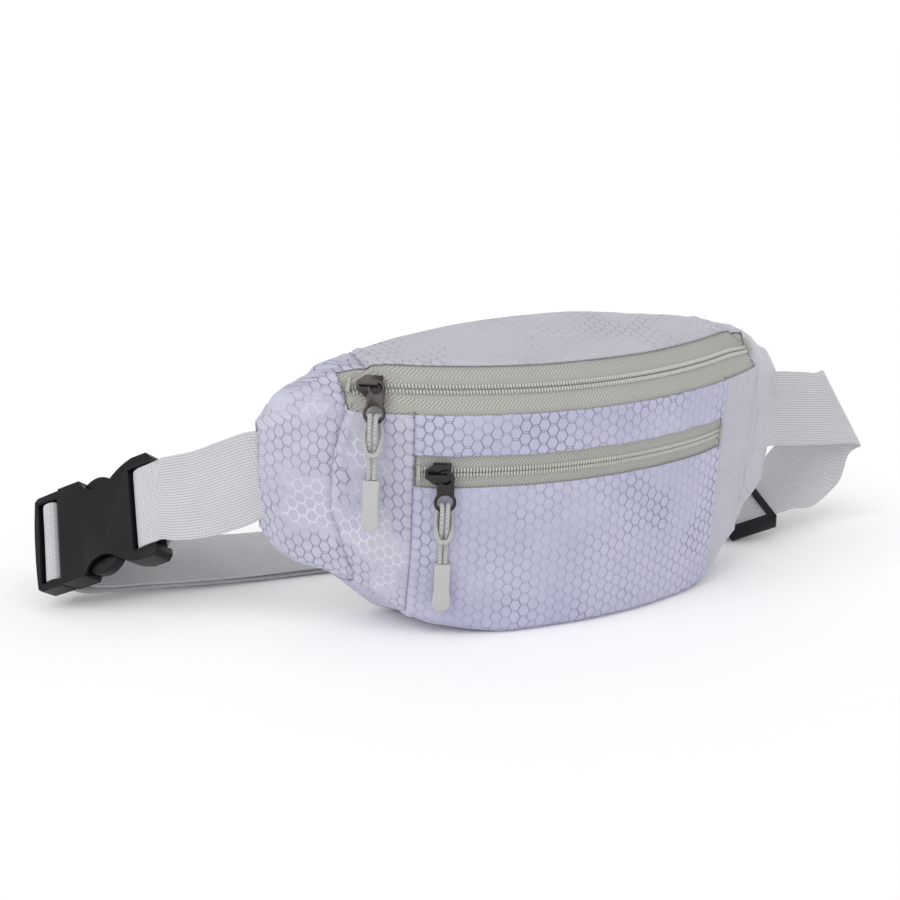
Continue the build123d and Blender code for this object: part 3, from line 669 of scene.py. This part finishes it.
stitches = []
for row in (row_of(POCKET_LOW) - 1.6, row_of(POCKET_HIGH) + 1.6, ROW_BAND - 1.8, 28.2):
    stitches += stitch_line(level(row))
stitches += stitch_line(level(ROW_TOP + 1.4, -97, 97)) + stitch_line(level(ROW_BACK - 2.6, -96, 96))
for x in (-SEAM_X - STITCH_INSET, SEAM_X + STITCH_INSET):
    stitches += stitch_line(upright(x, 27, ROW_BAND - 0.5))
for sign in (-1, 1):
    track = []
    for row in np.arange(27, ROW_BAND + 4, 0.8):
        z = np.interp(WING_X * sign, COLUMNS, GRID[:, int(row), 2])
        track.append((sign * (np.interp(z, WING_SEAM_Z, WING_SEAM_X) - STITCH_INSET), row))
    stitches += stitch_line(track)
mesh_piece("seam_stitching", *beads(stitches, STITCH_SIZE), THREAD, "shell_fabric", "bag")

TOOTH_PITCH, TOOTH_SIZE = 1.3, (2.2, 0.86, 1.3)


def coil(zip_name, part, row, limit):
    """One row of coil teeth beside the zip's middle line."""
    places = []
    for x in np.arange(-limit, limit, TOOTH_PITCH):
        point, normal = at_surface(x, row)
        up = at_surface(x, row + 0.5)[0] - at_surface(x, row - 0.5)[0]
        places.append((point, up, normal))
    mesh_piece(f"{zip_name}_teeth_{part}", *beads(places, TOOTH_SIZE), COIL, "zip_coil", "bag",
               [f"{zip_name}_coil_{part}"])


for zip_name, a, b, limit, away in (("main", band_row(BAND_A), band_row(BAND_B), 98.5, 0.55),
                                    ("pocket", row_of(POCKET_A), row_of(POCKET_B), 73.5, 0.4)):
    coil(zip_name, "lower", a - away, limit)
    coil(zip_name, "upper", b + away, limit)
    refined(f"{zip_name}_stops", f"{zip_name}_end_stops", TAPE_END, "bag", 0.3, 2)
    refined(f"{zip_name}_slider", f"{zip_name}_slider_body", METAL, f"{zip_name}_slider", 0.28)
    refined(f"{zip_name}_tab", f"{zip_name}_pull_tab", METAL, f"{zip_name}_tab", 0.22)
    refined(f"{zip_name}_grip", f"{zip_name}_pull_grip", RUBBER, f"{zip_name}_pull", 0.9, 4)


# ------------------------------------------------------------------ frames shared with the CAD model
class Frame:
    """Local axes in millimetres, as a CAD plane has."""

    def __init__(self, origin, x, z):
        self.o = np.array(origin, float)
        self.x = np.array(x, float) / np.linalg.norm(x)
        z = np.array(z, float)
        z = z - self.x * z.dot(self.x)
        self.z = z / np.linalg.norm(z)
        self.y = np.cross(self.z, self.x)

    def at(self, x, y, z):
        return self.o + self.x * x + self.y * y + self.z * z


INWARD, UPWARD = np.array((0, COS, SIN)), np.array((0, -SIN, COS))
ALONG_X = np.array((1.0, 0, 0))


def zip_frame(low, high, teeth, x):
    """Frame on the teeth line at x: along the zip, up the band, out of it."""
    size = math.hypot(high[0] - low[0], high[1] - low[1])
    rise = ((high[0] - low[0]) / size, (high[1] - low[1]) / size)
    radius, height = low[0] + rise[0] * teeth, low[1] + rise[1] * teeth
    turn = math.asin(x / radius)
    outward = ALONG_X * math.sin(turn) - INWARD * math.cos(turn)
    along = ALONG_X * math.cos(turn) + INWARD * math.sin(turn)
    origin = INWARD * AXIS_DEPTH + outward * radius + UPWARD * height
    return Frame(origin, along, outward * rise[1] - UPWARD * rise[0])


CORD_DIAMETER = 2.0
CORD_HANG = (3, -16.1, 3.65)
CORD_HALF = [(-1.1, -24, 0), (-1.1, -18, -0.4), (-1.1, -12, -0.4), (-1.1, -5.5, 1.9), (-1.1, 2.9, 2.3),
             (-1.7, 2.9, -2.3), (-3.6, -3.8, -1.7), (-3.3, -9.4, 0.8), (-2.1, -13.3, 2.3)]
CORD_ROUTE = CORD_HALF + [(-x, y, z) for x, y, z in reversed(CORD_HALF)]


def pull_cord(zip_name, frame_at, lean):
    """Cord loop hitched round the tab's ring, with both ends in the grip."""
    lean = math.radians(lean)
    outward = np.cross(frame_at.x, UPWARD)
    hang = Frame(frame_at.at(*CORD_HANG), frame_at.x, outward * math.cos(lean) + UPWARD * math.sin(lean))
    route = [hang.at(*point) * MM for point in CORD_ROUTE]
    data = bpy.data.curves.new(f"{zip_name}_pull_cord", "CURVE")
    data.dimensions = "3D"
    data.bevel_depth = CORD_DIAMETER / 2 * MM
    data.bevel_resolution = 4
    data.resolution_u = 10
    line = data.splines.new("NURBS")
    line.points.add(len(route) - 1)
    for point, place in zip(line.points, route):
        point.co = (*place, 1)
    line.order_u = 3
    line.use_endpoint_u = True
    data.materials.append(CORD)
    obj = bpy.data.objects.new(f"{zip_name}_pull_cord", data)
    bpy.context.scene.collection.objects.link(obj)
    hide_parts(f"{zip_name}_cord")
    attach(obj, f"{zip_name}_pull")


MAIN_REST_X, POCKET_REST_X = -91.0, -67.0
MAIN_LEAN, POCKET_LEAN = 6, 0
pull_cord("main", zip_frame(BAND_LOW, BAND_HIGH, MAIN_TEETH, MAIN_REST_X), MAIN_LEAN)
pull_cord("pocket", zip_frame((FRONT_RADIUS, POCKET_LOW), (FRONT_RADIUS, POCKET_HIGH),
                              POCKET_TEETH - POCKET_LOW, POCKET_REST_X), POCKET_LEAN)

# ------------------------------------------------------------------ belt
BUCKLE = Frame((-212, 92, 22.5), (0.707, -0.586, 0.395), (-0.694, -0.484, 0.532))
GLIDE_X = np.array((0.96, -0.168, 0.224))
GLIDE_X = GLIDE_X / np.linalg.norm(GLIDE_X)
GLIDE = Frame((137, 37, 15.5), GLIDE_X, np.cross(GLIDE_X, (0, 0.94, 0.34)))
WEBBING, THICK = 38.0, 1.6
SPAN_SAMPLES = 24
CURL, EVENING = 0.35, 3.5


def spline(stations, spacing):
    """Centripetal curve through stations of (middle, width direction), evenly sampled."""
    points = np.array([[*p, *(np.array(w) / np.linalg.norm(w))] for p, w in stations], float)
    points = np.vstack([2 * points[0] - points[1], points, 2 * points[-1] - points[-2]])
    out = []
    for i in range(1, len(points) - 2):
        p0, p1, p2, p3 = points[i - 1:i + 3]
        gaps = [np.linalg.norm(q[:3] - p[:3]) ** 0.5 for p, q in ((p0, p1), (p1, p2), (p2, p3))]
        t0, t1, t2, t3 = np.concatenate([[0], np.cumsum(gaps)])
        for t in np.linspace(t1, t2, SPAN_SAMPLES, endpoint=i == len(points) - 3):
            a1 = (t1 - t) / (t1 - t0) * p0 + (t - t0) / (t1 - t0) * p1
            a2 = (t2 - t) / (t2 - t1) * p1 + (t - t1) / (t2 - t1) * p2
            a3 = (t3 - t) / (t3 - t2) * p2 + (t - t2) / (t3 - t2) * p3
            b1 = (t2 - t) / (t2 - t0) * a1 + (t - t0) / (t2 - t0) * a2
            b2 = (t3 - t) / (t3 - t1) * a2 + (t - t1) / (t3 - t1) * a3
            out.append((t2 - t) / (t2 - t1) * b1 + (t - t1) / (t2 - t1) * b2)
    out = np.array(out)
    marks = np.concatenate([[0], np.cumsum(np.linalg.norm(np.diff(out[:, :3], axis=0), axis=1))])
    even = np.linspace(0, marks[-1], int(marks[-1] / spacing) + 2)
    return np.stack([np.interp(even, marks, out[:, k]) for k in range(6)], 1), even


def ribbon(name, stations, nodes, body, spacing, seed, loose=0):
    """Webbing: a flat strap with rounded selvages and a slight unevenness. A width direction that leans along
    the strap makes an oblique fold: the selvages stay a strap's width apart. loose is the length from the
    start that is free cloth, in even curves."""
    line, marks = spline(stations, spacing)
    if loose:
        even = smooth_rows(line, EVENING / spacing, False)
        share = (step(marks, 6, 14) * (1 - step(marks, loose - 10, loose)))[:, None]
        line = line * (1 - share) + even * share
    middle, across = line[:, :3], line[:, 3:]
    tangent = np.gradient(middle, axis=0)
    tangent /= np.linalg.norm(tangent, axis=1, keepdims=True)
    normal = np.cross(tangent, across)
    across = across / np.linalg.norm(normal, axis=1, keepdims=True)
    lean = (across * tangent).sum(1)
    normal /= np.linalg.norm(normal, axis=1, keepdims=True)
    half, thin = WEBBING / 2, THICK / 2
    inner = np.linspace(-half + 1.2, half - 1.2, 13)
    lower = [(-half, -0.3 * thin), (-half + 0.35, -0.75 * thin)] + [(s, -thin) for s in inner]
    lower += [(half - 0.35, -0.75 * thin), (half, -0.3 * thin)]
    profile = np.array(lower + [(s, -z) for s, z in reversed(lower)])
    count = len(profile)
    curl = CURL * waves(marks, 0 * marks, 70, seed)
    points, uv = [], []
    girth = np.concatenate([[0], np.cumsum(np.linalg.norm(np.diff(profile, axis=0), axis=1))])
    for i in range(len(middle)):
        bend = curl[i] * (profile[:, 0] / half) ** 2
        points.append(middle[i] + profile[:, :1] * across[i] + (profile[:, 1:] + bend[:, None]) * normal[i])
        uv.append(np.stack([girth, marks[i] + profile[:, 0] * lean[i]], 1))
    points, uv = np.concatenate(points), np.concatenate(uv)
    faces = []
    for start in range(0, (len(middle) - 1) * count, count):
        for k in range(count):
            ahead = (k + 1) % count
            faces.append((start + k, start + ahead, start + count + ahead, start + count + k))
    faces += [tuple(range(count))[::-1], tuple((len(middle) - 1) * count + k for k in range(count))]
    return mesh_piece(name, points, faces, uv, WEB, "webbing", body, nodes)


UP = (0, 0, 1)
BUCKLE_UP, GLIDE_UP = tuple(BUCKLE.y), tuple(GLIDE.y)


def round_bar(plane, places, up):
    """Stations in a frame's own x and z, round its bars."""
    return [(tuple(plane.at(x, 0, z)), up) for x, z in places]


left = [((-118, 3.2, 73), UP), ((-126, 3.6, 73), UP), ((-133, 5.4, 72), UP), ((-143, 15, 66.5), (0, 0.15, 1)),
        ((-152, 28, 60), (0, 0.35, 1)), ((-160, 41, 55.5), (0.05, 0.6, 0.9))]
left += round_bar(BUCKLE, ((71.5, 5.6), (66, 5.4), (60.4, 4.9), (57.2, 3.0), (57.0, -1.2), (60.4, -3.5),
                           (66, -3.5), (70.5, -1.6), (76, -0.2)), BUCKLE_UP)
strap_left = ribbon("belt_left_strap", left, ["belt_left", "belt_female_loop"], None, 0.8, 2)
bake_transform(strap_left)

# the strap turns back over an oblique fold, then runs through the tri-glide and behind the bag to the buckle
FOLD = (-0.599, -0.108, 0.794)
right = [((118, 3.2, 73), UP), ((126, 3.6, 73), UP), ((134, 5.4, 73), UP), ((149.5, 8.2, 70.6), (-0.05, 0, 1)),
         ((165, 11, 68.2), (-0.35, -0.06, 0.93)), ((175, 12.9, 66.8), (-0.55, -0.1, 0.83)),
         ((182, 14, 66), FOLD), ((189.2, 18.4, 64), FOLD), ((191, 21.8, 61.8), FOLD), ((191.6, 25, 58.7), FOLD),
         ((191, 27.2, 54.8), FOLD), ((184, 30, 37), (-0.45, 0.3, 0.84)), ((174, 32.5, 27), (-0.25, 0.62, 0.75))]
right += round_bar(GLIDE, ((25, 0), (12, 0), (-12, 0), (-25, 0)), GLIDE_UP)
right += [((80, 50, 10), (0, 0.96, 0.3)), ((20, 64, 8.4), (0, 0.97, 0.24)),
          ((-60, 78, 7.6), (0, 0.975, 0.22)), ((-125, 85, 8), (0, 0.97, 0.24)),
          ((-165, 91, 11), (0, 0.94, 0.35)), ((-186, 93, 14), (0, 0.88, 0.48)),
          (tuple(BUCKLE.at(10.6, 0, -13)), (0.08, 0.76, 0.64))]
right += round_bar(BUCKLE, ((11.4, -6), (11.5, 0), (11.2, 3.0), (8.4, 4.1), (5.6, 3.0), (5.3, 0), (5.4, -5)),
                   BUCKLE_UP)
LOOSE_RUN = 122
ribbon("belt_right_strap", right, ["belt_right", "belt_long_outer", "belt_male_loop"], "bag", 1.0, 3, LOOSE_RUN)

# the layer that comes back from the buckle and ends round the tri-glide's middle bar
inner = round_bar(BUCKLE, ((5.5, -5.4), (6.3, -14)), BUCKLE_UP)
inner += [((-186, 95.5, 11.2), (0, 0.88, 0.48)), ((-165, 92.5, 8.4), (0, 0.94, 0.35)),
          ((-125, 86, 5.6), (0, 0.97, 0.24)), ((-60, 79, 5.2), (0, 0.975, 0.22)),
          ((20, 65, 6), (0, 0.97, 0.24)), ((80, 51, 7.6), (0, 0.96, 0.3))]
inner += round_bar(GLIDE, ((-22, -3.9), (-8, -4.9), (0, -5.4), (2.3, -3.6), (0, -2.0), (-6, -2.2), (-16, -2.4)),
                   GLIDE_UP)
strap_inner = ribbon("belt_adjuster_strap", inner, ["belt_long_inner", "belt_adjuster_loop"], None, 1.0, 4)
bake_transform(strap_inner)

# ------------------------------------------------------------------ buckle and adjuster
for node, name, body, width in (("buckle_male", "buckle_tongue", "bag", 0.7),
                                ("buckle_female", "buckle_socket", "buckle_female", 0.9),
                                ("buckle_arm_upper", "buckle_arm_top", "arm_upper", 0.8),
                                ("buckle_arm_lower", "buckle_arm_bottom", "arm_lower", 0.8),
                                ("triglide", "strap_adjuster", "adjuster", 0.7)):
    refined(node, name, BLACK, body, width)

# ------------------------------------------------------------------ floor, light and camera
REACH, FLOOR_Z = 60.0, -0.0005
floor_data = bpy.data.meshes.new("floor")
floor_data.from_pydata([(REACH * a, REACH * b, FLOOR_Z) for a, b in ((-1, -1), (1, -1), (1, 1), (-1, 1))],
                       [], [(0, 1, 2, 3)])
floor = bpy.data.objects.new("floor", floor_data)
bpy.context.scene.collection.objects.link(floor)
paint = Net("studio_floor")
floor_data.materials.append(paint.finish((1.0, 1.0, 1.0, 1), 0.9, specular=0.0))

# bright low down, so that the floor fades into it, and dimmer above
world = bpy.data.worlds.new("studio")
world.use_nodes = True
sky = world.node_tree
rise = sky.nodes.new("ShaderNodeSeparateXYZ")
sky.links.new(sky.nodes.new("ShaderNodeTexCoord").outputs["Generated"], rise.inputs[0])
ramp = sky.nodes.new("ShaderNodeMapRange")
sky.links.new(rise.outputs["Z"], ramp.inputs["Value"])
for label, value in (("From Min", 0.12), ("From Max", 0.42), ("To Min", 1.12), ("To Max", 0.64)):
    ramp.inputs[label].default_value = value
sky.nodes["Background"].inputs[0].default_value = (1, 1, 1, 1)
sky.links.new(ramp.outputs["Result"], sky.nodes["Background"].inputs[1])
bpy.context.scene.world = world


def sun(name, direction, strength, softness):
    """Sun lamp that shines along direction; softness is its width in the sky, in degrees."""
    data = bpy.data.lights.new(name, "SUN")
    data.energy = strength
    data.angle = math.radians(softness)
    obj = bpy.data.objects.new(name, data)
    obj.rotation_euler = Vector(direction).to_track_quat("-Z", "Y").to_euler()
    bpy.context.scene.collection.objects.link(obj)


sun("key", (0.75, 0.35, -0.85), 1.25, 50)
sun("fill", (-0.6, 0.8, -0.6), 0.35, 80)

CAMERA_PLACE, CAMERA_LENS = Vector((-293.3, -543.8, 247.0)) * MM, 56.0
RIGHT_AXIS = Vector((0.910, -0.415, 0)).normalized()
BACK_AXIS = Vector((-0.3984, -0.8743, 0.2773)).normalized()
UP_AXIS = BACK_AXIS.cross(RIGHT_AXIS)
camera_data = bpy.data.cameras.new("camera")
camera_data.lens = CAMERA_LENS
camera = bpy.data.objects.new("camera", camera_data)
turned = Matrix((RIGHT_AXIS, UP_AXIS, BACK_AXIS)).transposed().to_4x4()
camera.matrix_world = Matrix.Translation(CAMERA_PLACE) @ turned
bpy.context.scene.collection.objects.link(camera)
bpy.context.scene.camera = camera
bpy.context.scene.view_settings.view_transform = "Standard"
